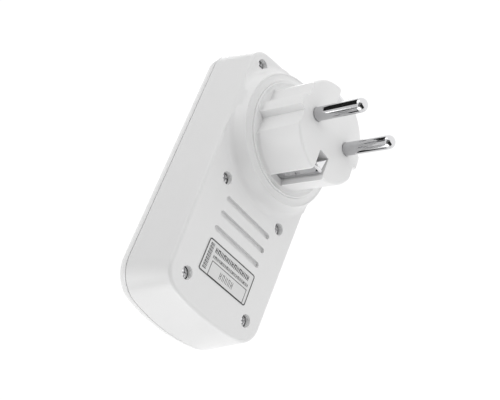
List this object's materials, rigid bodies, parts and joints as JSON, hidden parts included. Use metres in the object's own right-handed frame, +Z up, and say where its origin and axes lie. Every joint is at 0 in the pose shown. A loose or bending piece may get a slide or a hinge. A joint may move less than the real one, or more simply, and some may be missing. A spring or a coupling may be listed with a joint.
{
  "type": "plug-in power meter",
  "caption": "White plug-in meter: tapered two-part case, round earthed plug with two pins on the back, socket recess, display window and keys on the front.",
  "frame": {"origin": "midway between the two mains pins, on the plug face", "axes": "+Y along the pins, into the wall; -Y out of the front; +Z up; +X to the right seen from the front"},
  "size_m": [0.055, 0.0662, 0.1089],
  "materials": {
    "white_plastic": "moulded, satin gloss",
    "insert_plastic": "moulded, satin gloss",
    "pin_chrome": "bright nickel plate",
    "contact_metal": "nickel-plated spring strip",
    "contact_brass": "bare stamped brass",
    "screw_steel": "bright zinc plate",
    "fine_screw": "bright zinc plate",
    "label": "printed film",
    "carrier_plastic": "moulded, fine grain",
    "shutter_plastic": "moulded, smooth",
    "spring_steel": "drawn wire",
    "window": "clear polished acrylic",
    "lcd": "grey-green display glass",
    "elastomer": "layered silicone",
    "key_plastic": "fine grain",
    "power_key_plastic": "fine grain, dished",
    "black_plastic": "smooth",
    "light_guide": "frosted clear plastic",
    "led": "cast resin",
    "circuit_board": "solder mask over glass laminate",
    "relay_plastic": "moulded cover",
    "shunt_alloy": "bare copper alloy",
    "film_capacitor": "potted box",
    "capacitor_sleeve": "shrink sleeve",
    "fuse_glass": "glass tube",
    "varistor_coat": "dipped coating",
    "crystal_can": "drawn can",
    "cell_steel": "pressed can",
    "antenna_copper": "enamelled wire",
    "pin_gold": "gold flash",
    "wire_sheath": "PVC insulation"
  },
  "bodies": {
    "case": {"rear_shell": "white_plastic", "front_cover": "white_plastic", "plug_body": "insert_plastic", "line_pin": "pin_chrome", "neutral_pin": "pin_chrome", "plug_earth_top": "contact_metal", "plug_earth_bottom": "contact_metal", "earth_bridge": "contact_brass", "rating_label": "label", "case_screws": "screw_steel", "socket_insert": "insert_plastic", "socket_earth_clips": "contact_metal", "contact_carrier": "carrier_plastic", "line_contact": "contact_brass", "neutral_contact": "contact_brass", "carrier_screws": "fine_screw", "display_window": "window", "lcd_panel": "lcd", "lcd_holder": "white_plastic", "contact_strips": "elastomer", "key_switches": "carrier_plastic", "light_guide": "light_guide", "status_led": "led", "main_board": "circuit_board", "board_screws": "fine_screw", "relay": "relay_plastic", "current_shunt": "shunt_alloy", "filter_capacitor": "film_capacitor", "smoothing_capacitor": "capacitor_sleeve", "fuse": "fuse_glass", "varistor": "varistor_coat", "metering_chip": "black_plastic", "controller_chip": "black_plastic", "crystal": "crystal_can", "backup_cell": "cell_steel", "radio_board": "circuit_board", "radio_antenna": "antenna_copper", "radio_pins": "pin_gold", "neutral_link": "contact_brass", "mains_wires": "wire_sheath"},
    "mode_button": {"mode_key": "key_plastic", "mode_plunger": "black_plastic"},
    "up_button": {"up_key": "key_plastic", "up_plunger": "black_plastic"},
    "down_button": {"down_key": "key_plastic", "down_plunger": "black_plastic"},
    "power_button": {"power_key": "power_key_plastic", "power_plunger": "black_plastic"},
    "shutter_disc": {"shutter": "shutter_plastic", "shutter_spring": "spring_steel"}
  },
  "joints": [
    {"name": "mode_press", "type": "slide", "parent": "case", "child": "mode_button", "axis": [0, 1, 0], "range_m": [0, 0.0006], "stiffness_N_per_m": 1500, "springref_m": -0.0004},
    {"name": "up_press", "type": "slide", "parent": "case", "child": "up_button", "axis": [0, 1, 0], "range_m": [0, 0.0006], "stiffness_N_per_m": 1500, "springref_m": -0.0004},
    {"name": "down_press", "type": "slide", "parent": "case", "child": "down_button", "axis": [0, 1, 0], "range_m": [0, 0.0006], "stiffness_N_per_m": 1500, "springref_m": -0.0004},
    {"name": "power_press", "type": "slide", "parent": "case", "child": "power_button", "axis": [0, 1, 0], "range_m": [0, 0.0006], "stiffness_N_per_m": 1500, "springref_m": -0.0004},
    {"name": "shutter_turn", "type": "hinge", "parent": "case", "child": "shutter_disc", "pos_m": [0, -0.0265, 0], "axis": [0, -1, 0], "range_deg": [0, 36], "stiffness_Nm_per_rad": 0.002, "springref_deg": -17.19}
  ]
}
